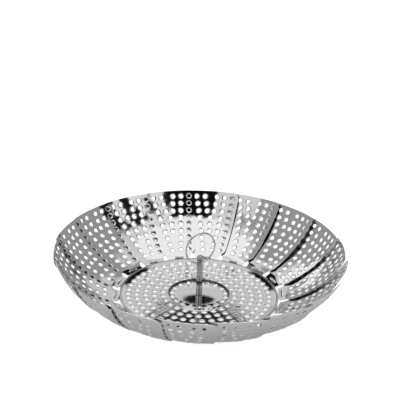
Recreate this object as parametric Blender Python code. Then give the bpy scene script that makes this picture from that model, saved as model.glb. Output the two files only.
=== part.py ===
"""Folding steamer basket: eighteen steel petals hinged round a dished plate on three folding legs.

Run with: blender --background --python part.py
Metres, +Z up. The origin is on the table under the middle of the plate, and the front is -Y.
The basket stands open: petals spread into a bowl, legs down, the lifting ring upright on its post.
"""
import bmesh
import bpy
from math import acos, cos, pi, radians, sin, sqrt, tan
from mathutils import Matrix, Vector

mm = 0.001
merge_distance = 0.0001 * mm
sharp_edge_angle = radians(35)
seat_gap = 0.3 * mm
cut_overrun = 1 * mm

# Plate: a rolled rim, a pierced floor below it, and a plain dish round the post
plate_radius = 70 * mm
plate_sheet = 0.8 * mm
plate_segments = 54
rim_height = 27 * mm
rim_round = 1.2 * mm
rim_land = 1 * mm
rim_slope = 2.5 * mm
plate_sink = 2.4 * mm
dish_radius = 28.2 * mm
dish_bead = 0.9 * mm
dish_slope = 1.4 * mm
dish_bead_rise = 1.5 * mm
dish_depth = 1.1 * mm
rim_round_steps = 2
floor_opening = 5 * mm
floor_opening_width_share = 0.78
floor_ring_shares = (0.2, 0.5, 0.8)

# Petals: one curved sheet, twisted a little so that each laps its neighbour
petal_count = 18
petal_length = 72 * mm
petal_sheet = 0.5 * mm
petal_bend_radius = 100 * mm
petal_slope = radians(21)
petal_half_sector = radians(12)
petal_twist = radians(3)
petal_corner = 5 * mm
petal_bays = 5
petal_column_shares = (-1, -0.4, 0.25, 1)
petal_opening = 5.6 * mm
first_petal_angle = radians(85.5)
front_droop = radians(4)

# Petal hinge: a bar left beside a slot, held in a hook curled from the plate's edge
hinge_drop = 2.8 * mm
hinge_skew = radians(3.5)
hook_inner_radius = 1.75 * mm
hook_turn = radians(250)
hook_steps = 8
bar_half_width = 1.1 * mm
slot_reach = 3.15 * mm
slot_end_clearance = 1 * mm
root_half_width = 10.5 * mm
root_shoulder = 12 * mm
root_blend = 8 * mm

# Post with its washer and nut
post_radius = 2.75 * mm
post_length = 38 * mm
post_dome = 1.6 * mm
post_dome_steps = 3
post_segments = 20
stud_radius = 2 * mm
stud_length = 5.4 * mm
stud_clearance = 0.3 * mm
washer_radius = 5 * mm
washer_sheet = 0.8 * mm
washer_segments = 18
nut_across_flats = 7 * mm
nut_thickness = 2.4 * mm

# Lifting ring
ring_radius = 14 * mm
ring_wire_radius = 0.8 * mm
ring_below_top = 7.4 * mm
ring_hole_radius = 1.45 * mm
ring_hole_segments = 12
ring_yaw = radians(29)
ring_segments = 28
ring_wire_sides = 8

# Legs: a bent strip each, with a curled eye at the top and a foot turned outwards
leg_count = 3
leg_pivot_radius = 36 * mm
leg_width = 13 * mm
leg_foot_width = 9 * mm
leg_foot_length = 6.5 * mm
leg_sheet = 1 * mm
leg_splay = radians(10)
leg_eye_radius = 2.5 * mm
leg_eye_turn = radians(290)
leg_eye_steps = 9
leg_ankle_radius = 1 * mm
leg_ankle_steps = 3
leg_clearance = 0.5 * mm

# Leg brackets and their pins
bracket_sheet = 0.8 * mm
bracket_margin = 1.4 * mm
bracket_ear_wall = 1.6 * mm
bracket_lip_reach = 4 * mm
bracket_lip_side_gap = 2 * mm
pin_radius = 1.1 * mm
pin_clearance = 0.3 * mm
pin_head_radius = 1.9 * mm
pin_head_thickness = 0.7 * mm
pin_segments = 10

# Heights and places that follow from the sizes above
hinge_radius = plate_radius + hook_inner_radius
hinge_height = rim_height - hinge_drop
floor_height = rim_height - plate_sink
floor_inner_radius = dish_radius + dish_bead + dish_slope
floor_outer_radius = plate_radius - rim_round - rim_land - rim_slope
bead_height = floor_height + dish_bead_rise
dish_height = bead_height - dish_depth
post_foot_height = dish_height + seat_gap
post_top_height = post_foot_height + post_length
ring_pivot_height = post_top_height - ring_below_top
bracket_base_height = floor_height - plate_sheet - seat_gap - bracket_sheet
pin_drop = leg_eye_radius + leg_clearance
pin_height = bracket_base_height - pin_drop
ear_inner = leg_width / 2 + leg_clearance
ear_outer = ear_inner + bracket_sheet
pin_hole_radius = pin_radius + pin_clearance


def clear_scene():
    for item in list(bpy.data.objects):
        bpy.data.objects.remove(item, do_unlink=True)


def steel(name, colour, roughness):
    material = bpy.data.materials.new(name)
    material.use_nodes = True
    shader = material.node_tree.nodes["Principled BSDF"]
    shader.inputs["Base Color"].default_value = (*colour, 1)
    shader.inputs["Metallic"].default_value = 1
    shader.inputs["Roughness"].default_value = roughness
    return material


def finished_mesh(name, bm):
    """Turn a bmesh into a mesh: faces outwards, smooth where it is round."""
    bmesh.ops.recalc_face_normals(bm, faces=bm.faces)
    mesh = bpy.data.meshes.new(name)
    bm.to_mesh(mesh)
    bm.free()
    mesh.shade_smooth()
    mesh.set_sharp_from_angle(angle=sharp_edge_angle)
    return mesh


def add_object(name, mesh, material, parent=None):
    item = bpy.data.objects.new(name, mesh)
    bpy.context.collection.objects.link(item)
    item.parent = parent
    if material is not None and not mesh.materials:
        mesh.materials.append(material)
    return item


def add_pivot(name, place):
    empty = bpy.data.objects.new(name, None)
    bpy.context.collection.objects.link(empty)
    empty.matrix_world = place
    return empty


def cut(item, name, bm, place):
    """Cut a shape, set at a place, out of an object."""
    cutter = add_object(name, finished_mesh(name, bm), None)
    cutter.matrix_world = place
    cutter.hide_render = True
    cutter.display_type = "WIRE"
    hole = item.modifiers.new(name, "BOOLEAN")
    hole.operation = "DIFFERENCE"
    hole.object = cutter


def drill(item, name, radius, length, segments, place):
    """Cut a straight hole whose cylinder lies along the place's X axis."""
    bm = bmesh.new()
    bmesh.ops.create_cone(bm, cap_ends=True, segments=segments, radius1=radius, radius2=radius,
                          depth=length + cut_overrun)
    bmesh.ops.rotate(bm, verts=bm.verts, matrix=Matrix.Rotation(pi / 2, 3, "Y"))
    cut(item, name, bm, place)


def arc(centre, radius, start, end, steps):
    angles = [start + (end - start) * i / steps for i in range(steps + 1)]
    return [Vector((centre[0] + radius * cos(a), centre[1] + radius * sin(a))) for a in angles]


def far_side(line, sheet):
    """The other face of a sheet whose thickness lies to the right of the line."""
    runs = [(b - a).normalized() for a, b in zip(line, line[1:])]
    offset_points = []
    for point, run_in, run_out in zip(line, runs[:1] + runs, runs + runs[-1:]):
        along = (run_in + run_out).normalized()
        right = Vector((along.y, -along.x))
        offset_points.append(point + right * sheet / run_in.dot(along))
    return offset_points


def sheet_outline(line, sheet):
    line = [Vector(point) for point in line]
    return line + far_side(line, sheet)[::-1]


def turned(outline, segments, closed):
    """Turn a (radius, height) outline round Z; one that isn't closed starts and ends on the axis."""
    bm = bmesh.new()
    points = [bm.verts.new((r, 0, z)) for r, z in outline]
    ends = points[1:] + points[:1] if closed else points[1:]
    edges = [bm.edges.new(pair) for pair in zip(points, ends)]
    bmesh.ops.spin(bm, geom=points + edges, cent=(0, 0, 0), axis=(0, 0, 1),
                   angle=2 * pi, steps=segments, use_merge=True)
    bmesh.ops.remove_doubles(bm, verts=bm.verts, dist=merge_distance)
    return bm


def bent_strip(line, sheet, half_widths):
    """A strip bent along an (x, z) line, lying along Y to its half width at each point."""
    line = [Vector(point) for point in line]
    bm = bmesh.new()
    stations = []
    for near, far, half in zip(line, far_side(line, sheet), half_widths):
        corners = ((near, half), (near, -half), (far, -half), (far, half))
        stations.append([bm.verts.new((point.x, y, point.y)) for point, y in corners])
    for a, b in zip(stations, stations[1:]):
        for i in range(4):
            k = (i + 1) % 4
            bm.faces.new((a[i], a[k], b[k], b[i]))
    bm.faces.new(stations[0])
    bm.faces.new(stations[-1])
    return bm


def smooth_share(value):
    share = min(max(value, 0), 1)
    return share * share * (3 - 2 * share)


def plate_line():
    """Upper face of the plate, from the hole for the post out to its turned-down edge."""
    line = [
        (stud_radius + stud_clearance, dish_height),
        (dish_radius - dish_slope, dish_height),
        (dish_radius, bead_height),
        (dish_radius + dish_bead, bead_height),
        (floor_inner_radius, floor_height),
        (floor_outer_radius, floor_height),
        (floor_outer_radius + rim_slope, rim_height),
    ]
    corner = (plate_radius - rim_round, rim_height - rim_round)
    line += arc(corner, rim_round, pi / 2, 0, rim_round_steps)
    return line + [(plate_radius, hinge_height)]


def hinge_direction():
    """Unit vector along a petal's hinge, in the petal's frame: X outwards, Y anticlockwise, Z up.

    It lies in the petal's own plane and is skewed there, so that every petal turns a little as it
    folds and its edge slides over its neighbour instead of meeting it.
    """
    across = sin(hinge_skew)
    return Vector((across * cos(petal_slope), cos(hinge_skew), across * sin(petal_slope)))


def petal_angle(index):
    return first_petal_angle - index * 2 * pi / petal_count


def hinge_place(index):
    return (Matrix.Rotation(petal_angle(index), 4, "Z")
            @ Matrix.Translation((hinge_radius, 0, hinge_height)))


def curl_hook(bm, index):
    """Curl a tab of the plate's edge down, out and over the hinge bar of one petal."""
    place = hinge_place(index)
    tab_root = place @ Vector((-hook_inner_radius - plate_sheet / 2, 0, 0))
    edge = min(bm.faces, key=lambda face: (face.calc_center_median() - tab_root).length)
    bmesh.ops.spin(bm, geom=[edge, *edge.edges, *edge.verts], cent=place.translation,
                   axis=place.to_3x3() @ -hinge_direction(), angle=hook_turn, steps=hook_steps)


def floor_openings():
    """The cutter for the floor's openings: one to each segment, in three staggered rings."""
    segment = 2 * pi / plate_segments
    bm = bmesh.new()
    for index in range(plate_segments):
        share = floor_ring_shares[index % len(floor_ring_shares)]
        radius = floor_inner_radius + (floor_outer_radius - floor_inner_radius) * share
        width = radius * segment * floor_opening_width_share
        place = Matrix.Rotation(first_petal_angle + index * segment, 4, "Z") @ Matrix.Translation((radius, 0, 0))
        size = Matrix.Diagonal((floor_opening, width, plate_sheet + cut_overrun, 1))
        bmesh.ops.create_cube(bm, size=1, matrix=place @ size)
    return bm


def add_plate(material):
    bm = turned(sheet_outline(plate_line(), plate_sheet), plate_segments, closed=True)
    seam = first_petal_angle - pi / plate_segments
    bmesh.ops.rotate(bm, verts=bm.verts, matrix=Matrix.Rotation(seam, 3, "Z"))
    for index in range(petal_count):
        curl_hook(bm, index)
    plate = add_object("base_plate", finished_mesh("base_plate", bm), material)
    cut(plate, "floor_openings", floor_openings(), Matrix.Translation((0, 0, floor_height - plate_sheet / 2)))


def petal_half_width(s, radius):
    """Half the petal's width, measured round the bowl, at s along it."""
    full = petal_half_sector * radius
    share = smooth_share((s - bar_half_width) / (root_shoulder - bar_half_width))
    width = root_half_width + (full - root_half_width) * share
    into_corner = max(petal_corner - (petal_length - s), 0)
    return width - petal_corner + sqrt(petal_corner ** 2 - into_corner ** 2)


def petal_point(s, across_share, across=None):
    """A point of the petal's middle surface in its frame: s along it, and so far round the bowl."""
    angle = petal_slope + s / petal_bend_radius
    reach = hinge_radius + petal_bend_radius * (sin(angle) - sin(petal_slope))
    rise = petal_bend_radius * (cos(petal_slope) - cos(angle))
    if across is None:
        across = petal_half_width(s, reach) * across_share
    inward = -across * petal_twist
    radius = reach - sin(angle) * inward
    turn = across / reach
    bowl = Vector((radius * cos(turn) - hinge_radius, radius * sin(turn), rise + cos(angle) * inward))
    root = hinge_direction() * across + Vector((cos(petal_slope), 0, sin(petal_slope))) * s
    return root.lerp(bowl, smooth_share((s - slot_reach) / (root_blend - slot_reach)))


def petal_rows():
    """Distances along a petal at which its sheet has a row of points."""
    shoulder = petal_length - petal_corner
    bay = (shoulder - root_blend) / petal_bays
    rows = [-bar_half_width, bar_half_width, slot_reach]
    rows += [root_blend + bay * i for i in range(petal_bays + 1)]
    rows += [shoulder + petal_corner * sin(turn) for turn in (pi / 5, pi / 2)]
    return rows


def pierced_cell(bm, corners, opening):
    """Four faces round a square opening in the middle of a cell; its corners go round from its root side."""
    near, far, far_next, near_next = [corner.co for corner in corners]
    length_share = opening / (far - near).lerp(far_next - near_next, 0.5).length
    width_share = opening / (near_next - near).lerp(far_next - far, 0.5).length
    inner = []
    for along, across in ((-1, -1), (1, -1), (1, 1), (-1, 1)):
        along = (1 + along * length_share) / 2
        across = (1 + across * width_share) / 2
        inner.append(bm.verts.new(near.lerp(far, along).lerp(near_next.lerp(far_next, along), across)))
    for i in range(4):
        k = (i + 1) % 4
        bm.faces.new((corners[i], corners[k], inner[k], inner[i]))


def petal_mesh():
    """The petal's sheet, with the slot that leaves its hinge bar, and an opening in each cell of its bays."""
    slot_half_length = plate_radius * sin(pi / plate_segments) + slot_end_clearance
    rows = petal_rows()
    bm = bmesh.new()
    grid = []
    for s in rows:
        points = [petal_point(s, share) for share in petal_column_shares]
        if s <= slot_reach:
            points[1] = petal_point(s, None, -slot_half_length)
            points[2] = petal_point(s, None, slot_half_length)
        grid.append([bm.verts.new(point) for point in points])
    first_bay = rows.index(root_blend)
    for i in range(len(rows) - 1):
        for j in range(len(petal_column_shares) - 1):
            corners = (grid[i][j], grid[i + 1][j], grid[i + 1][j + 1], grid[i][j + 1])
            in_slot = rows[i] == bar_half_width and j == 1
            if first_bay <= i < first_bay + petal_bays:
                pierced_cell(bm, corners, petal_opening)
            elif not in_slot:
                bm.faces.new(corners)
    return finished_mesh("petal", bm)


def droop(index):
    """How much further open than the back petal a petal lies: none at the back, most in front."""
    return front_droop * (1 - sin(petal_angle(index))) / 2


def add_petals(material):
    mesh = petal_mesh()
    for index in range(petal_count):
        pivot = add_pivot(f"petal_{index + 1:02d}_pivot", hinge_place(index))
        petal = add_object(f"petal_{index + 1:02d}", mesh, material, pivot)
        petal.rotation_mode = "AXIS_ANGLE"
        petal.rotation_axis_angle = (droop(index), *hinge_direction())
        sheet = petal.modifiers.new("sheet", "SOLIDIFY")
        sheet.thickness = petal_sheet
        sheet.offset = 0
        sheet.use_even_offset = True


def add_post(material):
    dome_radius = (post_radius ** 2 + post_dome ** 2) / (2 * post_dome)
    dome_start = acos(post_radius / dome_radius)
    outline = [
        (0, post_foot_height - stud_length),
        (stud_radius, post_foot_height - stud_length),
        (stud_radius, post_foot_height),
        (post_radius, post_foot_height),
    ]
    outline += arc((0, post_top_height - dome_radius), dome_radius, dome_start, pi / 2, post_dome_steps)
    bm = turned(outline, post_segments, closed=False)
    post = add_object("post", finished_mesh("post", bm), material)
    place = Matrix.Translation((0, 0, ring_pivot_height)) @ Matrix.Rotation(ring_yaw, 4, "Z")
    drill(post, "ring_hole", ring_hole_radius, 2 * post_radius, ring_hole_segments, place)


def add_washer(material):
    top = dish_height - plate_sheet - seat_gap
    low = top - washer_sheet
    hole = stud_radius + stud_clearance
    outline = [(hole, low), (washer_radius, low), (washer_radius, top), (hole, top)]
    bm = turned(outline, washer_segments, closed=True)
    add_object("post_washer", finished_mesh("post_washer", bm), material)


def add_nut(material):
    """Hexagon nut, from rings of twelve points: its corners and the middles of its flats."""
    top = dish_height - plate_sheet - seat_gap - washer_sheet - seat_gap
    low = top - nut_thickness
    flat = nut_across_flats / 2
    hole = stud_radius + stud_clearance
    bm = bmesh.new()
    rings = []
    for even, odd, height in ((flat / cos(pi / 6), flat, low), (flat / cos(pi / 6), flat, top),
                              (hole, hole, top), (hole, hole, low)):
        ring = []
        for i in range(12):
            radius = odd if i % 2 else even
            ring.append(bm.verts.new((radius * cos(i * pi / 6), radius * sin(i * pi / 6), height)))
        rings.append(ring)
    for a, b in zip(rings, rings[1:] + rings[:1]):
        for i in range(12):
            k = (i + 1) % 12
            bm.faces.new((a[i], a[k], b[k], b[i]))
    add_object("post_nut", finished_mesh("post_nut", bm), material)


def add_ring(material):
    """Wire ring, upright, whose lowest point runs through the post's cross hole."""
    wire = arc((ring_radius, 0), ring_wire_radius, 0, 2 * pi, ring_wire_sides)[:-1]
    bm = turned(wire, ring_segments, closed=True)
    bmesh.ops.rotate(bm, verts=bm.verts, matrix=Matrix.Rotation(pi / 2, 3, "X"))
    bmesh.ops.translate(bm, verts=bm.verts, vec=(0, 0, ring_radius))
    place = Matrix.Translation((0, 0, ring_pivot_height)) @ Matrix.Rotation(ring_yaw, 4, "Z")
    add_object("ring_handle", finished_mesh("ring_handle", bm), material, add_pivot("ring_pivot", place))


def leg_place(index):
    """Frame of a leg's pin: X outwards, Y along the pin, Z up."""
    angle = pi / 2 - index * 2 * pi / leg_count
    return Matrix.Rotation(angle, 4, "Z") @ Matrix.Translation((leg_pivot_radius, 0, pin_height))


def leg_mesh():
    """A leg in its pin's frame: eye round the pin, strip splayed outwards, foot flat on the table."""
    eye = arc((0, 0), leg_eye_radius, leg_splay + leg_eye_turn, leg_splay, leg_eye_steps)
    down = Vector((sin(leg_splay), -cos(leg_splay)))
    foot_top = leg_sheet - pin_height
    ankle = eye[-1] + down * ((eye[-1].y - foot_top) / cos(leg_splay))
    bend_run = leg_ankle_radius * tan((pi / 2 - leg_splay) / 2)
    bend_centre = (ankle.x + bend_run, foot_top + leg_ankle_radius)
    bend = arc(bend_centre, leg_ankle_radius, pi + leg_splay, 3 * pi / 2, leg_ankle_steps)
    toe = Vector((bend[-1].x + leg_foot_length, foot_top))
    line = eye + bend + [toe]
    half_widths = [leg_width / 2] * (len(line) - 1) + [leg_foot_width / 2]
    return finished_mesh("leg", bent_strip(line, leg_sheet, half_widths))


def add_legs(material):
    mesh = leg_mesh()
    for index in range(leg_count):
        pivot = add_pivot(f"leg_{index + 1}_pivot", leg_place(index))
        add_object(f"leg_{index + 1}", mesh, material, pivot)


def extrude(bm, faces, move):
    edges = {edge for face in faces for edge in face.edges}
    made = bmesh.ops.extrude_face_region(bm, geom=[*faces, *edges])["geom"]
    bmesh.ops.translate(bm, verts=[v for v in made if isinstance(v, bmesh.types.BMVert)], vec=move)


def pressed_down(bm, low, high, move):
    """Extrude the underside's cells between two (x, y) corners into a flange."""
    cells = []
    for face in bm.faces:
        centre = face.calc_center_median()
        inside = low[0] < centre.x < high[0] and low[1] < centre.y < high[1]
        if inside and centre.z < pin_drop + bracket_sheet / 4:
            cells.append(face)
    extrude(bm, cells, move)


def bracket_mesh():
    """A leg's bracket in the pin's frame: flat base, two ears for the pin, and a lip behind the leg.

    The lip leans like the leg and stops it from splaying further.
    """
    lip_reach = leg_eye_radius + seat_gap
    lip_inner = (lip_reach - pin_drop * sin(leg_splay)) / cos(leg_splay)
    lip_outer = lip_inner + bracket_sheet / cos(leg_splay)
    ear_half = pin_hole_radius + bracket_ear_wall
    lip_half = ear_inner - bracket_lip_side_gap
    xs = (-ear_half - bracket_margin, -ear_half, lip_inner, lip_outer, lip_outer + bracket_margin)
    ys = (-ear_outer, -ear_inner, -lip_half, lip_half, ear_inner, ear_outer)
    bm = bmesh.new()
    grid = [[bm.verts.new((x, y, pin_drop)) for y in ys] for x in xs]
    for i in range(len(xs) - 1):
        for j in range(len(ys) - 1):
            bm.faces.new((grid[i][j], grid[i + 1][j], grid[i + 1][j + 1], grid[i][j + 1]))
    extrude(bm, list(bm.faces), (0, 0, bracket_sheet))
    ear_drop = pin_drop + pin_hole_radius + bracket_ear_wall
    pressed_down(bm, (-ear_half, -ear_outer), (lip_outer, -ear_inner), (0, 0, -ear_drop))
    pressed_down(bm, (-ear_half, ear_inner), (lip_outer, ear_outer), (0, 0, -ear_drop))
    lip_drop = pin_drop + bracket_lip_reach
    pressed_down(bm, (lip_inner, -lip_half), (lip_outer, lip_half),
                 (lip_drop * tan(leg_splay), 0, -lip_drop))
    return finished_mesh("leg_bracket", bm)


def add_brackets(material):
    mesh = bracket_mesh()
    for index in range(leg_count):
        bracket = add_object(f"leg_bracket_{index + 1}", mesh, material)
        bracket.matrix_world = leg_place(index)
        along_pin = leg_place(index) @ Matrix.Rotation(pi / 2, 4, "Z")
        drill(bracket, f"pin_hole_{index + 1}", pin_hole_radius, 2 * ear_outer, pin_segments, along_pin)


def add_pins(material):
    """Headed pins, each along Y in its leg's frame."""
    head_in = ear_outer + seat_gap
    head_out = head_in + pin_head_thickness
    outline = [
        (0, -head_out),
        (pin_head_radius, -head_out),
        (pin_head_radius, -head_in),
        (pin_radius, -head_in),
        (pin_radius, head_in),
        (pin_head_radius, head_in),
        (pin_head_radius, head_out),
        (0, head_out),
    ]
    bm = turned(outline, pin_segments, closed=False)
    bmesh.ops.rotate(bm, verts=bm.verts, matrix=Matrix.Rotation(pi / 2, 3, "X"))
    mesh = finished_mesh("leg_pin", bm)
    for index in range(leg_count):
        pin = add_object(f"leg_pin_{index + 1}", mesh, material)
        pin.matrix_world = leg_place(index)


def build():
    clear_scene()
    polished = steel("polished_steel", (0.77, 0.77, 0.78), 0.12)
    satin = steel("satin_steel", (0.7, 0.7, 0.71), 0.3)
    add_plate(polished)
    add_petals(polished)
    add_post(polished)
    add_washer(satin)
    add_nut(satin)
    add_ring(polished)
    add_legs(satin)
    add_brackets(satin)
    add_pins(satin)


build()
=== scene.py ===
"""Folding steamer basket, dressed for its picture: pierced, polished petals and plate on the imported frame."""
from math import acos, cos, exp, hypot, pi, radians, sin, sqrt, tan
from random import Random

import bmesh
import bpy
from mathutils import Matrix, Vector
from mathutils.geometry import delaunay_2d_cdt


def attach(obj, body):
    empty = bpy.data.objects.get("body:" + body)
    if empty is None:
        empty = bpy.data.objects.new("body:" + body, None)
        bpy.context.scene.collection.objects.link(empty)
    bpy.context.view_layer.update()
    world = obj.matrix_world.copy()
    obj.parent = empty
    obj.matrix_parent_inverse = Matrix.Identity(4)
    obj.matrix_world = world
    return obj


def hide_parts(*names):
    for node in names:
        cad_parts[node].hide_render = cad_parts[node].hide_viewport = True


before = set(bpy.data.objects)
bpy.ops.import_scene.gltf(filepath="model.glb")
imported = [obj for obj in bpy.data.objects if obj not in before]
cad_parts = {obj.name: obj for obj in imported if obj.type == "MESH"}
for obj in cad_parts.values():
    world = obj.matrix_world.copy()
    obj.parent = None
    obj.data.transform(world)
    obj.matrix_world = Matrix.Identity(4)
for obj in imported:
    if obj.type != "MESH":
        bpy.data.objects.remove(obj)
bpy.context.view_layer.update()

# The camera: about a metre away and half a metre above the table, with its frame turned by two degrees.
# It looks a little past the basket, so that the bowl lies in the lower half of the picture.
camera_distance = 1.05
camera_elevation = radians(28.013)
camera_pitch = radians(23.585)
camera_roll = radians(2.152)
look_height = 0.027
camera = bpy.data.objects.new("camera", bpy.data.cameras.new("camera"))
bpy.context.scene.collection.objects.link(camera)
bpy.context.scene.camera = camera
camera.data.sensor_width = 36
camera.data.lens = 107.15
camera.data.shift_x = -0.00586
camera.matrix_world = (
    Matrix.Translation((0, -camera_distance * cos(camera_elevation),
                        look_height + camera_distance * sin(camera_elevation)))
    @ Matrix.Rotation(pi / 2 - camera_pitch, 4, "X")
    @ Matrix.Rotation(camera_roll, 4, "Z"))
bpy.context.scene.view_settings.view_transform = "Standard"


# The studio: a white floor, and a tent of white, grey and black panels that the polished steel reflects.
# The panels are part of the world's light, so nothing stands between the camera and the basket.
# The camera itself sees plain white behind the floor.
class Signal:
    """A socket in a node tree. Arithmetic on it adds Math nodes; node() adds any other kind."""

    def __init__(self, tree, socket=None):
        self.tree = tree
        self.socket = socket

    def node(self, kind, settings, inputs, output=0):
        made = self.tree.nodes.new(kind)
        for name, value in settings.items():
            setattr(made, name, value)
        for name, value in inputs.items():
            if isinstance(value, Signal):
                self.tree.links.new(value.socket, made.inputs[name])
            else:
                made.inputs[name].default_value = value
        return Signal(self.tree, made.outputs[output]) if made.outputs else made

    def maths(self, operation, *values):
        return self.node("ShaderNodeMath", {"operation": operation}, dict(enumerate(values)))

    def __add__(self, other):
        return self.maths("ADD", self, other)

    def __sub__(self, other):
        return self.maths("SUBTRACT", self, other)

    def __rsub__(self, other):
        return self.maths("SUBTRACT", other, self)

    def __mul__(self, other):
        return self.maths("MULTIPLY", self, other)

    __radd__ = __add__
    __rmul__ = __mul__


def smooth_step(signal, low, high):
    """0 below low and 1 above high, eased between them."""
    return signal.node("ShaderNodeMapRange", {"interpolation_type": "SMOOTHSTEP"},
                       {"Value": signal, "From Min": low, "From Max": high})


world = bpy.data.worlds.new("studio")
bpy.context.scene.world = world
world.use_nodes = True
sky = Signal(world.node_tree)
world.node_tree.nodes.clear()
direction = sky.node("ShaderNodeTexCoord", {}, {}, "Generated")
along = {axis: sky.node("ShaderNodeSeparateXYZ", {}, {"Vector": direction}, axis) for axis in "XYZ"}
elevation = sky.maths("ARCSINE", along["Z"])
bearing = sky.maths("ARCTAN2", along["X"], along["Y"] * -1)


def panel(bearing_low, bearing_high, low, high, edge):
    """A soft-edged window in the tent, between two bearings from the front and two elevations."""
    soft = radians(edge)
    across = (smooth_step(bearing, radians(bearing_low) - soft, radians(bearing_low) + soft)
              * (1 - smooth_step(bearing, radians(bearing_high) - soft, radians(bearing_high) + soft)))
    up = (smooth_step(elevation, radians(low) - soft, radians(low) + soft)
          * (1 - smooth_step(elevation, radians(high) - soft, radians(high) + soft)))
    return across * up


def toned(tent, tone, mask):
    """The tent with one panel set to its own brightness."""
    return tent + (tone - tent) * mask


# Each panel: two bearings and two elevations in degrees, its brightness, and how soft its edge is in degrees.
# A bearing of 0 is towards the camera, and a positive one is on the right.
panels = (
    (-139, -60, -20, 57, 0.34, 4),
    (86, 151, -20, 51, 0.33, 3),
    (-164, -139, -20, 16, 0.12, 4),
    (139, 164, -20, 16, 0.16, 4),
    (-60, -17, 15, 60, 0.72, 3),
    (-17, 27, -20, 22, 0.6, 2),
    (-20, 27, 22, 61.5, 0.004, 1.5),
    (27, 88, 10, 60, 0.82, 1),
    (40, 47, 30, 57, 0.02, 1),
    (56.5, 69, 21, 54, 0.01, 1),
    (75, 88, 10, 52, 0.01, 1.5),
    (-157, -141, 6, 33, 1.0, 1.5))
tent = 0.62 + 0.06 * smooth_step(elevation, 0, 1)
for bearing_low, bearing_high, low, high, tone, edge in panels:
    tent = toned(tent, tone, panel(bearing_low, bearing_high, low, high, edge))

# Above the panels the tent is white. Behind the basket it has a dark gap on each side, which the plate's rim
# reflects, and there is a round black opening behind and above, which the dish reflects.
tent = toned(tent, 1.0, smooth_step(elevation, radians(60), radians(64)))
behind = sky.maths("ABSOLUTE", bearing)
ceiling = radians(44) + radians(9) * smooth_step(behind, radians(170), radians(155))
sweep = elevation - radians(4.5) * smooth_step(behind, radians(168), radians(157))
gap = (smooth_step(sweep, radians(29.5), radians(31))
       * (1 - smooth_step(elevation - ceiling, radians(-2), radians(1)))
       * smooth_step(behind, radians(152.5), radians(154.5))
       * (1 - smooth_step(behind, radians(169), radians(172))))
tent = toned(tent, 0.006, gap)
spot_elevation = radians(31.7)
spot = sky.maths("ARCCOSINE", along["Y"] * cos(spot_elevation) + along["Z"] * sin(spot_elevation))
tent = toned(tent, 0.004, 1 - smooth_step(spot, radians(3.0), radians(3.15)))
shown = sky.node("ShaderNodeBackground", {}, {"Color": (1, 1, 1, 1), "Strength": 1.0})
lit = sky.node("ShaderNodeBackground", {}, {"Color": (1, 1, 1, 1), "Strength": tent})
seen = sky.node("ShaderNodeLightPath", {}, {}, "Is Camera Ray")
surroundings = sky.node("ShaderNodeMixShader", {}, {0: seen, 1: lit, 2: shown})
sky.node("ShaderNodeOutputWorld", {}, {"Surface": surroundings})

floor_half = 4.0
floor_mesh = bpy.data.meshes.new("floor")
floor_mesh.from_pydata([(-floor_half, -floor_half, 0), (floor_half, -floor_half, 0),
                        (floor_half, floor_half, 0), (-floor_half, floor_half, 0)], [], [(0, 1, 2, 3)])
floor = bpy.data.objects.new("floor", floor_mesh)
bpy.context.scene.collection.objects.link(floor)
floor_paint = bpy.data.materials.new("white_floor")
floor_paint.use_nodes = True
floor_mesh.materials.append(floor_paint)
floor_paint.node_tree.nodes.clear()
paint = Signal(floor_paint.node_tree)
matt = paint.node("ShaderNodeBsdfDiffuse", {}, {"Color": (0.9, 0.9, 0.9, 1)})
seen = paint.node("ShaderNodeLightPath", {}, {}, "Is Camera Ray")
glow = paint.node("ShaderNodeEmission", {}, {"Color": (1, 1, 1, 1), "Strength": 0.06 + seen * 0.68})
white = paint.node("ShaderNodeAddShader", {}, {0: matt, 1: glow})
clear = paint.node("ShaderNodeBsdfTransparent", {}, {})
underneath = paint.node("ShaderNodeNewGeometry", {}, {}, "Backfacing")
one_sided = paint.node("ShaderNodeMixShader", {}, {0: underneath, 1: white, 2: clear})
paint.node("ShaderNodeOutputMaterial", {}, {"Surface": one_sided})

# Petals: eighteen thin stainless leaves, blanked and pierced flat, bowed in a press and polished. Each keeps a
# narrow bar beyond a slot at its root, which its hook on the plate holds, and laps the next leaf clockwise.
mm = 0.001
petal_count = 18
petal_length = 72
petal_sheet = 0.5
petal_bow = 100
petal_slope = radians(21)
petal_half_sector = radians(12)
petal_twist = radians(3)
petal_corner = 5
first_petal = radians(85.5)
front_droop = radians(4)
hinge_ring = 71.75
hinge_height = 24.2
hinge_skew = radians(3.5)
bar_half = 1.1
slot_reach = 3.15
slot_half = 5.07
slot_corner = 0.8
root_half = 10.5
root_corner = 0.8
root_shoulder = 12
root_blend = 8
hole_radius = 1.9
hole_sides = 16
hole_rings = (0.18, 0.42, 0.75, 1.15)
hole_rows = 9
hole_row_pitch = 6.9
hole_column_pitch = 7.7
first_hole_row = 66.6
first_hole_inset = 5.6
draw_depth = 0.30
draw_width = 1.0
petal_dimple = 0.07
dimple_width = 3.0
cell = 9
sag_depth = 3
sag_start = 4
step = 0.05


def smooth_share(value):
    share = min(max(value, 0), 1)
    return share * share * (3 - 2 * share)


def petal_half_width(s, radius):
    full = petal_half_sector * radius
    share = smooth_share((s - bar_half) / (root_shoulder - bar_half))
    width = root_half + (full - root_half) * share
    tip = max(petal_corner - (petal_length - s), 0)
    width += sqrt(max(petal_corner ** 2 - tip ** 2, 0)) - petal_corner
    root = max(root_corner - (s + bar_half), 0)
    return width + sqrt(max(root_corner ** 2 - root ** 2, 0)) - root_corner


def bow_reach(s):
    return hinge_ring + petal_bow * (sin(petal_slope + s / petal_bow) - sin(petal_slope))


hinge_line = Vector((sin(hinge_skew) * cos(petal_slope), cos(hinge_skew), sin(hinge_skew) * sin(petal_slope)))
root_line = Vector((cos(petal_slope), 0, sin(petal_slope)))


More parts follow.
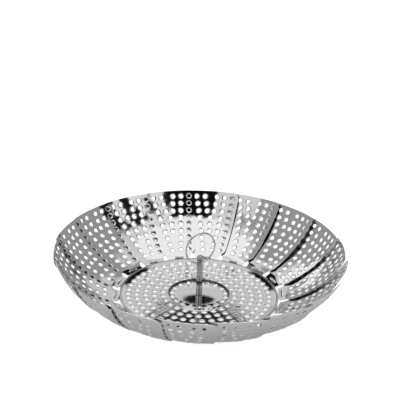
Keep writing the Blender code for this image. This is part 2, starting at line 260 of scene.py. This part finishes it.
def petal_point(s, across):
    """Middle of the sheet in the petal's frame: s along it and so far across, round the bowl."""
    angle = petal_slope + s / petal_bow
    reach = bow_reach(s)
    rise = petal_bow * (cos(petal_slope) - cos(angle))
    inward = -across * petal_twist
    radius = reach - sin(angle) * inward
    turn = across / reach
    bowl = Vector((radius * cos(turn) - hinge_ring, radius * sin(turn), rise + cos(angle) * inward))
    root = hinge_line * across + root_line * s
    return root.lerp(bowl, smooth_share((s - slot_reach) / (root_blend - slot_reach)))


def petal_hole_places():
    """Centres of a petal's holes: nine rows that follow its clockwise edge and thin out towards the root."""
    places = []
    pitch = hole_column_pitch
    for row in range(hole_rows):
        s = first_hole_row - hole_row_pitch * row
        first = first_hole_inset - petal_half_width(s, bow_reach(s))
        span = 35 - 2.4 * row
        if row < 3:
            columns = (0, pitch, 2 * pitch, span - 8, span)
        elif row < 6:
            columns = (0, pitch, (pitch + span) / 2, span)
        else:
            columns = (0, pitch, span)
        places += [(s, first + column) for column in columns]
    return places


def ring_points(centre, radius, sides, turn=0):
    """Points evenly round a circle, the first of them at the given turn."""
    angles = [2 * pi * i / sides + turn for i in range(sides)]
    return [(centre[0] + radius * cos(angle), centre[1] + radius * sin(angle)) for angle in angles]


def inside(point, loop):
    """Whether a flat point lies within a closed loop."""
    x, y = point
    crossings = 0
    for (xa, ya), (xb, yb) in zip(loop, loop[1:] + loop[:1]):
        if (ya > y) != (yb > y) and x < xa + (y - ya) / (yb - ya) * (xb - xa):
            crossings += 1
    return crossings % 2 == 1


def pierced_net(outline, openings, holes, filling):
    """Points and triangles of a flat pierced sheet: outline, openings, rings round every hole, and filling."""
    loops = [outline] + openings + [ring_points(hole, hole_radius, hole_sides) for hole in holes]
    points, edges, owner = [], [], []
    for number, loop in enumerate(loops):
        start = len(points)
        points += loop
        owner += [number] * len(loop)
        edges += [(start + i, start + (i + 1) % len(loop)) for i in range(len(loop))]
    for hole in holes:
        for number, out in enumerate(hole_rings):
            points += ring_points(hole, hole_radius + out, hole_sides, (number + 1) % 2 * pi / hole_sides)
    points += filling
    owner += [-1] * (len(points) - len(owner))
    made = delaunay_2d_cdt([Vector(point) for point in points], edges, [], 0, 1e-6)
    source = [ids[0] for ids in made[3]]
    triangles = []
    for face in made[2]:
        corners = [source[i] for i in face]
        owners = {owner[i] for i in corners}
        if len(owners) == 1 and owners != {-1}:
            number = owners.pop()
            middle = (sum(points[i][0] for i in corners) / 3, sum(points[i][1] for i in corners) / 3)
            if number > 0 or not inside(middle, outline):
                continue
        triangles.append(corners)
    return points, triangles


def sheet_body(points, normals, triangles, sheet, centred):
    """Both faces of a sheet and the walls between them: (vertices, faces)."""
    upper = sheet / 2 if centred else 0
    count = len(points)
    vertices = [p + n * upper for p, n in zip(points, normals)]
    vertices += [p + n * (upper - sheet) for p, n in zip(points, normals)]
    faces = [tuple(t) for t in triangles] + [tuple(i + count for i in reversed(t)) for t in triangles]
    open_edges = set()
    for a, b, c in triangles:
        for edge in ((a, b), (b, c), (c, a)):
            if (edge[1], edge[0]) in open_edges:
                open_edges.remove((edge[1], edge[0]))
            else:
                open_edges.add(edge)
    faces += [(b, a, a + count, b + count) for a, b in sorted(open_edges)]
    return vertices, faces


def set_normals(mesh, normals):
    """Give both faces of a sheet the true normals of its surface; the walls keep their own."""
    count = len(normals)
    mesh.shade_smooth()
    mesh.set_sharp_from_angle(angle=radians(50))
    corner_normals = [(0, 0, 0)] * len(mesh.loops)
    for face in mesh.polygons:
        corners = [mesh.loops[i].vertex_index for i in face.loop_indices]
        if max(corners) < count:
            side = 1
        elif min(corners) >= count and max(corners) < 2 * count:
            side = -1
        else:
            continue
        for loop, corner in zip(face.loop_indices, corners):
            corner_normals[loop] = normals[corner % count] * side
    mesh.normals_split_custom_set(corner_normals)


def neighbours_by_cell(holes):
    """The holes near each square cell of the flat sheet, so that a point is held against few of them."""
    cells = {}
    for hole in holes:
        home = (int(hole[0] // cell), int(hole[1] // cell))
        for i in (-1, 0, 1):
            for j in (-1, 0, 1):
                cells.setdefault((home[0] + i, home[1] + j), []).append(hole)
    return cells


def pressed_height(u, v, cells, dimple):
    """How far the punch drew the sheet down: a rolled rim at each hole, in a wide shallow dimple."""
    height = 0
    for hole in cells.get((int(u // cell), int(v // cell)), ()):
        away = hypot(u - hole[0], v - hole[1])
        rim = max(1 - (away - hole_radius) / draw_width, 0)
        height -= draw_depth * min(rim, 1.1) ** 2 + dimple * exp(-(away / dimple_width) ** 2)
    return height


def waves(seed, height):
    """A few long, low waves that hand bending and polishing leave in thin sheet."""
    random = Random(seed)
    rows = []
    for length in (16, 22, 31, 45):
        heading = random.uniform(0, 2 * pi)
        rows.append((height * length / 30, 2 * pi / length * cos(heading), 2 * pi / length * sin(heading),
                     random.uniform(0, 2 * pi)))
    return rows


def wave_height(rows, u, v):
    return sum(high * sin(a * u + b * v + phase) for high, a, b, phase in rows)


def petal_outline():
    """The flat petal's edge, from its root up one side, over the tip and back down the other."""
    stations = [-bar_half + root_corner * (1 - cos(pi / 2 * i / 3)) for i in range(3)]
    step = (petal_length - petal_corner + bar_half - root_corner) / 34
    stations += [-bar_half + root_corner + step * i for i in range(35)]
    stations += [petal_length - petal_corner + petal_corner * sin(pi / 2 * i / 6) for i in range(1, 7)]
    left = [(s, -petal_half_width(s, bow_reach(s))) for s in stations]
    tip_half = -left[-1][1]
    tip = [(petal_length, -tip_half + 2 * tip_half * i / 16) for i in range(1, 16)]
    right = [(s, -across) for s, across in reversed(left)]
    root_end = -left[0][1]
    root = [(-bar_half, root_end - 2 * root_end * i / 10) for i in range(1, 10)]
    return left + tip + right + root


def slot_outline():
    """The slot beyond the hinge bar, with its corners rounded."""
    loop = []
    for quarter, (s, across) in enumerate(((slot_reach, slot_half), (bar_half, slot_half),
                                           (bar_half, -slot_half), (slot_reach, -slot_half))):
        centre = (s - slot_corner if s == slot_reach else s + slot_corner,
                  across - slot_corner if across > 0 else across + slot_corner)
        for i in range(5):
            turn = pi / 2 * quarter + pi / 2 * i / 4
            loop.append((centre[0] + slot_corner * cos(turn), centre[1] + slot_corner * sin(turn)))
    return loop


def front_sag(s, across, angle):
    """How far use has bellied the petals out; most at the front of the basket."""
    share = (1 - sin(angle + across / bow_reach(s))) / 2
    past = s - sag_start
    belly = sin(pi * max(past, 0) / (petal_length - sag_start))
    return -sag_depth * share ** 2 * smooth_share(past / 14) * belly


petal_holes = petal_hole_places()
outline = petal_outline()
slot_loop = slot_outline()
filling = []
for row in range(1, 36):
    s = -bar_half + row * (petal_length + bar_half) / 36
    half = petal_half_width(s, bow_reach(s)) - 1
    columns = max(int(half / 1.1), 2)
    for column in range(columns + 1):
        across = -half + 2 * half * column / columns
        clear_of_slot = not (bar_half - 0.5 < s < slot_reach + 0.5 and abs(across) < slot_half + 0.5)
        if clear_of_slot and all(hypot(s - h[0], across - h[1]) > hole_radius + 2.1 for h in petal_holes):
            filling.append((s, across))
petal_net, petal_triangles = pierced_net(outline, [slot_loop], petal_holes, filling)
petal_cells = neighbours_by_cell(petal_holes)
petal_base = []
for s, across in petal_net:
    point = petal_point(s, across)
    along_s = (petal_point(s + step, across) - petal_point(s - step, across)) / (2 * step)
    along_a = (petal_point(s, across + step) - petal_point(s, across - step)) / (2 * step)
    punched = pressed_height(s, across, petal_cells, petal_dimple)
    slope_s = (pressed_height(s + step, across, petal_cells, petal_dimple)
               - pressed_height(s - step, across, petal_cells, petal_dimple)) / (2 * step)
    slope_a = (pressed_height(s, across + step, petal_cells, petal_dimple)
               - pressed_height(s, across - step, petal_cells, petal_dimple)) / (2 * step)
    petal_base.append((point, along_s, along_a, punched, slope_s, slope_a))


def steel_grain(finish, scale, stretch):
    """Noise drawn out along one direction, as a polishing belt or a drawing die leaves it."""
    place = finish.node("ShaderNodeTexCoord", {}, {}, "Object")
    drawn = finish.node("ShaderNodeMapping", {"vector_type": "POINT"}, {"Vector": place, "Scale": stretch})
    return finish.node("ShaderNodeTexNoise", {},
                       {"Vector": drawn, "Scale": scale, "Detail": 4, "Roughness": 0.6}, "Fac")


def polished_steel(name, colour, shine, smear, stretch=(1, 1, 1), reach=0.004, painted_shade_rings=()):
    """Mirror-polished stainless steel: faint smears, fine lines, and painted shade: the colour goes dark in
    narrow gaps.
    The painted shade rings lie between two distances from the axis in metres; the colour goes dark there too."""
    material = bpy.data.materials.new(name)
    material.use_nodes = True
    finish = Signal(material.node_tree)
    shader = material.node_tree.nodes["Principled BSDF"]
    shader.inputs["Metallic"].default_value = 1
    smears = steel_grain(finish, 60, (1, 1, 1))
    lines = steel_grain(finish, 900, stretch)
    tint = finish.node("ShaderNodeMix", {"data_type": "RGBA"},
                       {"Factor": smears, "A": (*[c * 0.95 for c in colour], 1), "B": (*colour, 1)}, "Result")
    # Painted shade: ambient occlusion within reach darkens the colour in narrow gaps, in laps and through
    # holes.
    open_sky = finish.node("ShaderNodeAmbientOcclusion", {"samples": 8}, {"Distance": reach}, "AO")
    unshaded = smooth_step(open_sky, 0.1, 0.6)
    # Painted shade: the colour also goes dark in each ring, whatever light reaches it.
    for inner, outer in painted_shade_rings:
        place = finish.node("ShaderNodeTexCoord", {}, {}, "Object")
        flat = finish.node("ShaderNodeVectorMath", {"operation": "MULTIPLY"}, {0: place, 1: (1, 1, 0)})
        away = finish.node("ShaderNodeVectorMath", {"operation": "LENGTH"}, {0: flat}, "Value")
        ring = smooth_step(away, inner - 0.0002, inner) * (1 - smooth_step(away, outer, outer + 0.0002))
        unshaded = unshaded * (1 - 0.93 * ring)
    # The painted shade, mixed towards near black.
    tint = finish.node("ShaderNodeMix", {"data_type": "RGBA"},
                       {"Factor": unshaded, "A": (0.05, 0.05, 0.05, 1), "B": tint}, "Result")
    rough = shine + smear * smears * smears + 0.02 * lines
    peel = finish.node("ShaderNodeBump", {},
                       {"Strength": 0.05, "Distance": 0.0002, "Height": lines}, "Normal")
    finish.tree.links.new(tint.socket, shader.inputs["Base Color"])
    finish.tree.links.new(rough.socket, shader.inputs["Roughness"])
    finish.tree.links.new(peel.socket, shader.inputs["Normal"])
    return material


# The petals get painted shade in their laps and gaps, within 4 mm.
petal_steel = polished_steel("polished_petal", (0.84, 0.84, 0.845), 0.035, 0.05)
hinge_pivot = Matrix.Translation((hinge_ring, 0, hinge_height))
for index in range(petal_count):
    angle = first_petal - index * 2 * pi / petal_count
    droop = front_droop * (1 - sin(angle)) / 2
    place = Matrix.Rotation(angle, 4, "Z") @ hinge_pivot @ Matrix.Rotation(droop, 4, hinge_line)
    rows = waves(index, 0.045 + 0.05 * max(cos(angle), 0))
    points, normals = [], []
    for (s, across), (point, along_s, along_a, punched, slope_s, slope_a) in zip(petal_net, petal_base):
        free = smooth_share((s - 5) / 10)
        height = punched + free * wave_height(rows, s, across) + front_sag(s, across, angle)
        slope_s += (front_sag(s + step, across, angle) - front_sag(s - step, across, angle)) / (2 * step)
        slope_a += (front_sag(s, across + step, angle) - front_sag(s, across - step, angle)) / (2 * step)
        bend_s = free * (wave_height(rows, s + step, across) - wave_height(rows, s - step, across)) / (2 * step)
        bend_a = free * (wave_height(rows, s, across + step) - wave_height(rows, s, across - step)) / (2 * step)
        flat_normal = along_s.cross(along_a).normalized()
        tilted = (along_s + flat_normal * (slope_s + bend_s)).cross(along_a + flat_normal * (slope_a + bend_a))
        points.append(place @ (point + flat_normal * height))
        normals.append((place.to_3x3() @ tilted).normalized())
    vertices, faces = sheet_body(points, normals, petal_triangles, petal_sheet, True)
    name = f"petal_{index + 1:02d}"
    mesh = bpy.data.meshes.new(f"{name}_leaf")
    mesh.from_pydata([vertex * mm for vertex in vertices], [], faces)
    set_normals(mesh, normals)
    mesh.materials.append(petal_steel)
    leaf = bpy.data.objects.new(f"{name}_leaf", mesh)
    bpy.context.scene.collection.objects.link(leaf)
    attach(leaf, name)
    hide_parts(name)

# Base plate: one stainless disc, pierced in six rings, with a dish pressed round the post and its rim rolled
# down. The innermost ring of holes is in the dish. Eighteen tabs of its edge are curled under and out to hook
# the petals' bars.
plate_radius = 70
plate_sheet = 0.8
plate_sides = 216
rim_height = 26.0
rim_round = 1.2
rim_lip = 0.3
floor_height = 24.6
dish_height = 25.0
dish_wall = 1.75
dish_wall_start = 25.4
dish_bead_end = 27.3
slope_start = 62.9
slope_run = 5.4
slope_rise = 0.256
post_hole = 2.3
plate_rings = ((23.8, 18, 12.9), (31.5, 24, 9.4), (39.0, 30, 6.8),
               (46.7, 36, 4.5), (54.5, 42, 3.2), (62.0, 48, 1.9))
hook_inner = 1.75
hook_turn = radians(250)
hook_steps = 20
hook_sides = 4


def sloping_share(value, ease):
    """A straight slope from 0 to 1 with both its ends rounded off."""
    share = min(max(value, 0), 1)
    if share < ease:
        return share ** 2 / (2 * ease * (1 - ease))
    if share > 1 - ease:
        return 1 - (1 - share) ** 2 / (2 * ease * (1 - ease))
    return (share - ease / 2) / (1 - ease)


def plate_profile(t):
    """Upper face of the plate as (radius, height), t from the axis along it and over its rolled edge."""
    start = plate_radius - rim_round
    bend = rim_round * pi / 2
    if t > start + bend:
        return plate_radius, rim_height - rim_round - (t - start - bend)
    if t > start:
        turn = (t - start) / rim_round
        return start + rim_round * sin(turn), rim_height - rim_round + rim_round * cos(turn)
    dish = dish_height + 0.2 - (min(t, 21) / 26) ** 2
    wall = dish_wall * sloping_share((t - dish_wall_start) / 1.5, 0.18)
    height = dish + wall - (dish + dish_wall - floor_height) * smooth_share((t - dish_bead_end) / 1.9)
    height -= 0.008 * (min(max(t, 30), 62) - 30)
    slope = sloping_share((t - slope_start) / slope_run, 0.1)
    height += (rim_height - rim_lip - floor_height + slope_rise) * slope
    return t, height + rim_lip * smooth_share((t - 68.3) / 0.5)


def plate_point(x, y):
    t = hypot(x, y)
    radius, height = plate_profile(t)
    return Vector((x / t * radius, y / t * radius, height))


plate_holes = []
for radius, count, turn in plate_rings:
    plate_holes += ring_points((0, 0), radius, count, radians(turn))
edge_t = plate_radius - rim_round + rim_round * pi / 2 + rim_height - rim_round - hinge_height
seam = first_petal - pi / plate_sides * hook_sides
plate_outline = ring_points((0, 0), edge_t, plate_sides, seam)
filling = []
circles = [(4, 36), (6.5, 48), (9, 60), (11.5, 72), (14, 84), (16.5, 96), (19, 108), (21, 120), (23.5, 144),
           (25, 144)]
circles += [(25.5 + 0.25 * i, 144) for i in range(16)]
circles += [(31.2 + 1.9 * i, 180) for i in range(17)]
circles += [(64.2 + 0.5 * i, 216) for i in range(8)] + [(68.2 + 0.15 * i, 216) for i in range(4)]
circles += [(plate_radius - rim_round + rim_round * pi / 2 * i / 6, 216) for i in range(1, 7)]
for radius, count in circles:
    near = [hole for hole in plate_holes if abs(hypot(*hole) - radius) < 5]
    for point in ring_points((0, 0), radius, count, seam):
        if all(hypot(point[0] - h[0], point[1] - h[1]) > hole_radius + 1.6 for h in near):
            filling.append(point)
post_opening = ring_points((0, 0), post_hole, 36, seam)
plate_net, plate_triangles = pierced_net(plate_outline, [post_opening], plate_holes, filling)
plate_cells = neighbours_by_cell(plate_holes)
plate_dimple = 0.025
plate_waves = waves(99, 0.008)


def plate_height(x, y):
    t = hypot(x, y)
    calm = smooth_share((t - 4) / 10) * smooth_share((66 - t) / 6)
    return pressed_height(x, y, plate_cells, plate_dimple) + calm * wave_height(plate_waves, x, y)


points, normals = [], []
for x, y in plate_net:
    point = plate_point(x, y)
    along_x = (plate_point(x + step, y) - plate_point(x - step, y)) / (2 * step)
    along_y = (plate_point(x, y + step) - plate_point(x, y - step)) / (2 * step)
    flat_normal = along_x.cross(along_y).normalized()
    slope_x = (plate_height(x + step, y) - plate_height(x - step, y)) / (2 * step)
    slope_y = (plate_height(x, y + step) - plate_height(x, y - step)) / (2 * step)
    points.append(point + flat_normal * plate_height(x, y))
    normals.append((along_x + flat_normal * slope_x).cross(along_y + flat_normal * slope_y).normalized())
vertices, faces = sheet_body(points, normals, plate_triangles, plate_sheet, False)
bm = bmesh.new()
corners = [bm.verts.new(vertex) for vertex in vertices]
for face in faces:
    bm.faces.new([corners[i] for i in face])
bm.verts.ensure_lookup_table()
bm.faces.ensure_lookup_table()
edge_faces = [face for face in bm.faces
              if len(face.verts) == 4 and face.calc_center_median().z < hinge_height + 0.1
              and hypot(*face.calc_center_median().xy) > plate_radius - plate_sheet]
for index in range(petal_count):
    angle = first_petal - index * 2 * pi / petal_count
    place = Matrix.Rotation(angle, 4, "Z") @ hinge_pivot
    root = place @ Vector((-hook_inner - plate_sheet / 2, 0, 0))
    edge_faces = [face for face in edge_faces if face.is_valid]
    tab = sorted(edge_faces, key=lambda face: (face.calc_center_median() - root).length)[:hook_sides]
    tab_edges = {edge for face in tab for edge in face.edges}
    tab_verts = {vertex for face in tab for vertex in face.verts}
    bmesh.ops.spin(bm, geom=[*tab, *tab_edges, *tab_verts], cent=place.translation,
                   axis=place.to_3x3() @ -hinge_line, angle=hook_turn, steps=hook_steps)
bmesh.ops.scale(bm, verts=bm.verts, vec=(mm, mm, mm))
mesh = bpy.data.meshes.new("plate_pressing")
bm.to_mesh(mesh)
bm.free()
set_normals(mesh, normals)
# The plate's painted shade: dark in gaps within 1 mm, and in rings at the foot of the dish's wall and at the
# rolled rim.
mesh.materials.append(polished_steel("polished_plate", (0.84, 0.84, 0.845), 0.04, 0.05,
                                     reach=0.001, painted_shade_rings=((0.0253, 0.0269), (0.0683, 0.0687))))
plate = bpy.data.objects.new("plate_pressing", mesh)
bpy.context.scene.collection.objects.link(plate)
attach(plate, "base")
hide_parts("base_plate")

# Post: a turned stainless rod with a domed top, a cross hole for the ring and a threaded end that stands
# through the dish. The washer and the hexagon nut on that end hold it under the plate.
post_radius = 2.75
post_foot = 25.3
post_top = 63.3
post_dome = 1.6
stud_radius = 2
stud_end = 19.9
thread_pitch = 0.7
ring_height = 55.9
ring_yaw = radians(29)
ring_hole = 1.45


def turned_mesh(name, outline, sides, closed):
    """An outline of (radius, height) turned round the post's axis."""
    bm = bmesh.new()
    verts = [bm.verts.new((r, 0, z)) for r, z in outline]
    ends = verts[1:] + verts[:1] if closed else verts[1:]
    edges = [bm.edges.new(pair) for pair in zip(verts, ends)]
    bmesh.ops.spin(bm, geom=verts + edges, cent=(0, 0, 0), axis=(0, 0, 1), angle=2 * pi, steps=sides,
                   use_merge=True)
    bmesh.ops.remove_doubles(bm, verts=bm.verts, dist=1e-4)
    bmesh.ops.recalc_face_normals(bm, faces=bm.faces)
    bmesh.ops.scale(bm, verts=bm.verts, vec=(mm, mm, mm))
    mesh = bpy.data.meshes.new(name)
    bm.to_mesh(mesh)
    bm.free()
    mesh.shade_smooth()
    mesh.set_sharp_from_angle(angle=radians(35))
    return mesh


def add_piece(name, mesh, material, body, node):
    mesh.materials.append(material)
    piece = bpy.data.objects.new(name, mesh)
    bpy.context.scene.collection.objects.link(piece)
    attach(piece, body)
    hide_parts(node)
    return piece


dome = (post_radius ** 2 + post_dome ** 2) / (2 * post_dome)
dome_start = acos(post_radius / dome)
post_outline = [(0, stud_end), (stud_radius - 0.4, stud_end)]
turns = int((post_foot - stud_end - 0.6) / thread_pitch)
for i in range(turns):
    low = stud_end + 0.3 + i * thread_pitch
    post_outline += [(stud_radius - 0.35, low), (stud_radius - 0.03, low + thread_pitch / 2)]
post_outline += [(stud_radius - 0.35, stud_end + 0.3 + turns * thread_pitch), (stud_radius - 0.35, post_foot),
                 (post_radius - 0.3, post_foot), (post_radius, post_foot + 0.3), (post_radius, post_foot + 0.6)]
post_outline += [(post_radius, post_foot + 3 + 4 * i) for i in range(8)]
post_outline += [(post_radius, post_top - post_dome - 0.3)]
post_outline += [(dome * cos(dome_start + (pi / 2 - dome_start) * i / 8),
                  post_top - dome + dome * sin(dome_start + (pi / 2 - dome_start) * i / 8)) for i in range(9)]
post_outline[-1] = (0, post_top)
post_mesh = turned_mesh("post_rod", post_outline, 48, False)
cross = bmesh.new()
bmesh.ops.create_cone(cross, cap_ends=True, segments=28, radius1=ring_hole * mm, radius2=ring_hole * mm,
                      depth=8 * mm)
bmesh.ops.rotate(cross, verts=cross.verts,
                 matrix=Matrix.Rotation(ring_yaw, 3, "Z") @ Matrix.Rotation(pi / 2, 3, "Y"))
bmesh.ops.translate(cross, verts=cross.verts, vec=(0, 0, ring_height * mm))
cutter_mesh = bpy.data.meshes.new("cross_hole")
cross.to_mesh(cutter_mesh)
cross.free()
cutter = bpy.data.objects.new("cross_hole", cutter_mesh)
bpy.context.scene.collection.objects.link(cutter)
rod = bpy.data.objects.new("post_rod", post_mesh)
bpy.context.scene.collection.objects.link(rod)
hole = rod.modifiers.new("cross_hole", "BOOLEAN")
hole.object = cutter
hole.solver = "EXACT"
bpy.context.view_layer.update()
drilled = bpy.data.meshes.new_from_object(rod.evaluated_get(bpy.context.evaluated_depsgraph_get()))
drilled.name = "post_rod"
bpy.data.objects.remove(rod)
bpy.data.objects.remove(cutter)
drilled.materials.clear()
drilled.shade_smooth()
drilled.set_sharp_from_angle(angle=radians(35))
add_piece("post_rod", drilled, polished_steel("turned_post", (0.5, 0.5, 0.505), 0.03, 0.02, (1, 1, 0.02)),
          "base", "post")

washer_top = 23.9
washer_outline = [(2.3, washer_top - 0.7), (2.4, washer_top - 0.8), (4.85, washer_top - 0.8),
                  (5, washer_top - 0.65), (5, washer_top - 0.15), (4.85, washer_top), (2.4, washer_top),
                  (2.3, washer_top - 0.1)]
bright = polished_steel("plated_fixings", (0.74, 0.74, 0.75), 0.16, 0.12)
add_piece("post_washer_disc", turned_mesh("post_washer_disc", washer_outline, 64, True), bright,
          "base", "post_washer")

nut_top = washer_top - 1.1
nut_low = nut_top - 2.4
nut_flat = 3.5
nut_sides = 72
nut = bmesh.new()
nut_rings = []
for ring in range(8):
    verts = []
    for i in range(nut_sides):
        turn = 2 * pi * i / nut_sides
        corner = nut_flat / cos((turn + pi / 6) % (pi / 3) - pi / 6)
        fall = (corner - nut_flat + 0.12) * tan(radians(30))
        radius, height = ((2.3, nut_low + 0.35), (2.6, nut_low), (nut_flat - 0.12, nut_low),
                          (corner, nut_low + fall), (corner, nut_top - fall), (nut_flat - 0.12, nut_top),
                          (2.6, nut_top), (2.3, nut_top - 0.35))[ring]
        verts.append(nut.verts.new((radius * cos(turn) * mm, radius * sin(turn) * mm, height * mm)))
    nut_rings.append(verts)
for a, b in zip(nut_rings, nut_rings[1:] + nut_rings[:1]):
    for i in range(nut_sides):
        k = (i + 1) % nut_sides
        nut.faces.new((a[i], a[k], b[k], b[i]))
bmesh.ops.recalc_face_normals(nut, faces=nut.faces)
mesh = bpy.data.meshes.new("post_nut_hex")
nut.to_mesh(mesh)
nut.free()
mesh.shade_smooth()
mesh.set_sharp_from_angle(angle=radians(20))
add_piece("post_nut_hex", mesh, bright, "base", "post_nut")

# Lifting ring: drawn stainless wire bent round and welded, threaded through the post's cross hole.
# It stands upright in the picture, at 29 degrees to its width.
ring_radius = 14
wire_radius = 0.8
wire_outline = ring_points((ring_radius, 0), wire_radius, 16)
wire = turned_mesh("ring_wire", wire_outline, 112, True)
wire.transform(Matrix.Translation((0, 0, ring_height * mm)) @ Matrix.Rotation(ring_yaw, 4, "Z")
               @ Matrix.Translation((0, 0, ring_radius * mm)) @ Matrix.Rotation(pi / 2, 4, "X"))
add_piece("ring_wire", wire, polished_steel("drawn_wire", (0.68, 0.68, 0.685), 0.05, 0.05), "ring_handle",
          "ring_handle")

# Legs: three bent stainless strips, each with an eye curled round its pin and a foot turned outwards.
# A clip spot-welded under the plate carries each leg on a peened pin, and its lip stops the leg.


def leg_steel(name, colour, shine):
    """Satin stainless strip: fine lines along its length over a soft, uneven shine."""
    material = bpy.data.materials.new(name)
    material.use_nodes = True
    finish = Signal(material.node_tree)
    shader = material.node_tree.nodes["Principled BSDF"]
    shader.inputs["Metallic"].default_value = 1
    lines = steel_grain(finish, 700, (1, 1, 0.06))
    patches = steel_grain(finish, 90, (1, 1, 1))
    tint = finish.node("ShaderNodeMix", {"data_type": "RGBA"},
                       {"Factor": lines, "A": (*[c * 0.86 for c in colour], 1), "B": (*colour, 1)}, "Result")
    rough = shine + 0.12 * patches + 0.08 * lines
    brushed = finish.node("ShaderNodeBump", {},
                          {"Strength": 0.2, "Distance": 0.0002, "Height": lines}, "Normal")
    finish.tree.links.new(tint.socket, shader.inputs["Base Color"])
    finish.tree.links.new(rough.socket, shader.inputs["Roughness"])
    finish.tree.links.new(brushed.socket, shader.inputs["Normal"])
    return material


def softened(node, width):
    """A copy of a CAD piece with its cut edges rounded and its curls shaded smooth."""
    bm = bmesh.new()
    bm.from_mesh(node.data)
    bmesh.ops.remove_doubles(bm, verts=bm.verts, dist=1e-7)
    bmesh.ops.dissolve_limit(bm, angle_limit=radians(1), verts=bm.verts, edges=bm.edges)
    sharp = [edge for edge in bm.edges
             if len(edge.link_faces) == 2 and edge.calc_face_angle() > radians(50)]
    bmesh.ops.bevel(bm, geom=sharp, offset=width * mm, segments=2, profile=0.5, affect="EDGES",
                    clamp_overlap=True)
    bmesh.ops.triangulate(bm, faces=bm.faces)
    mesh = bpy.data.meshes.new(node.name)
    bm.to_mesh(mesh)
    bm.free()
    mesh.transform(node.matrix_world)
    mesh.shade_smooth()
    mesh.set_sharp_from_angle(angle=radians(40))
    return mesh


satin = leg_steel("satin_strip", (0.74, 0.74, 0.75), 0.22)
for number in (1, 2, 3):
    add_piece(f"leg_{number}_strip", softened(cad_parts[f"leg_{number}"], 0.14), satin,
              f"leg_{number}", f"leg_{number}")
    add_piece(f"leg_bracket_{number}_clip", softened(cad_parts[f"leg_bracket_{number}"], 0.12), satin,
              "base", f"leg_bracket_{number}")

# Leg pins: turned rivets of bright steel, one through each clip and its leg's eye. Both heads are peened
# round over the clip's ears.
leg_ring = 36
pin_level = 19.7
pin_radius = 1.1
head_radius = 1.9
head_thickness = 0.7
rivet_steel = polished_steel("peened_rivet", (0.72, 0.72, 0.73), 0.2, 0.15)
for number in (1, 2, 3):
    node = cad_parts[f"leg_pin_{number}"]
    half = max((vertex.co - node.data.vertices[0].co).length for vertex in node.data.vertices) / 2 / mm
    half = sqrt(half ** 2 - head_radius ** 2)
    outline = [(0, -half)]
    for side in (-1, 1):
        rim = [(head_radius * cos(radians(turn)), side * (half - head_thickness * (1 - sin(radians(turn)))))
               for turn in (90, 70, 50, 30, 15, 0)]
        under_head = side * (half - head_thickness)
        rim += [(head_radius - 0.1, under_head), (pin_radius, under_head)]
        outline += rim[1:] if side < 0 else rim[:0:-1]
    outline.append((0, half))
    angle = pi / 2 - (number - 1) * 2 * pi / 3
    rivet = turned_mesh(f"leg_pin_{number}_rivet", outline, 32, False)
    rivet.transform(Matrix.Rotation(angle, 4, "Z") @ Matrix.Translation((leg_ring * mm, 0, pin_level * mm))
                    @ Matrix.Rotation(pi / 2, 4, "X"))
    add_piece(f"leg_pin_{number}_rivet", rivet, rivet_steel, "base", f"leg_pin_{number}")
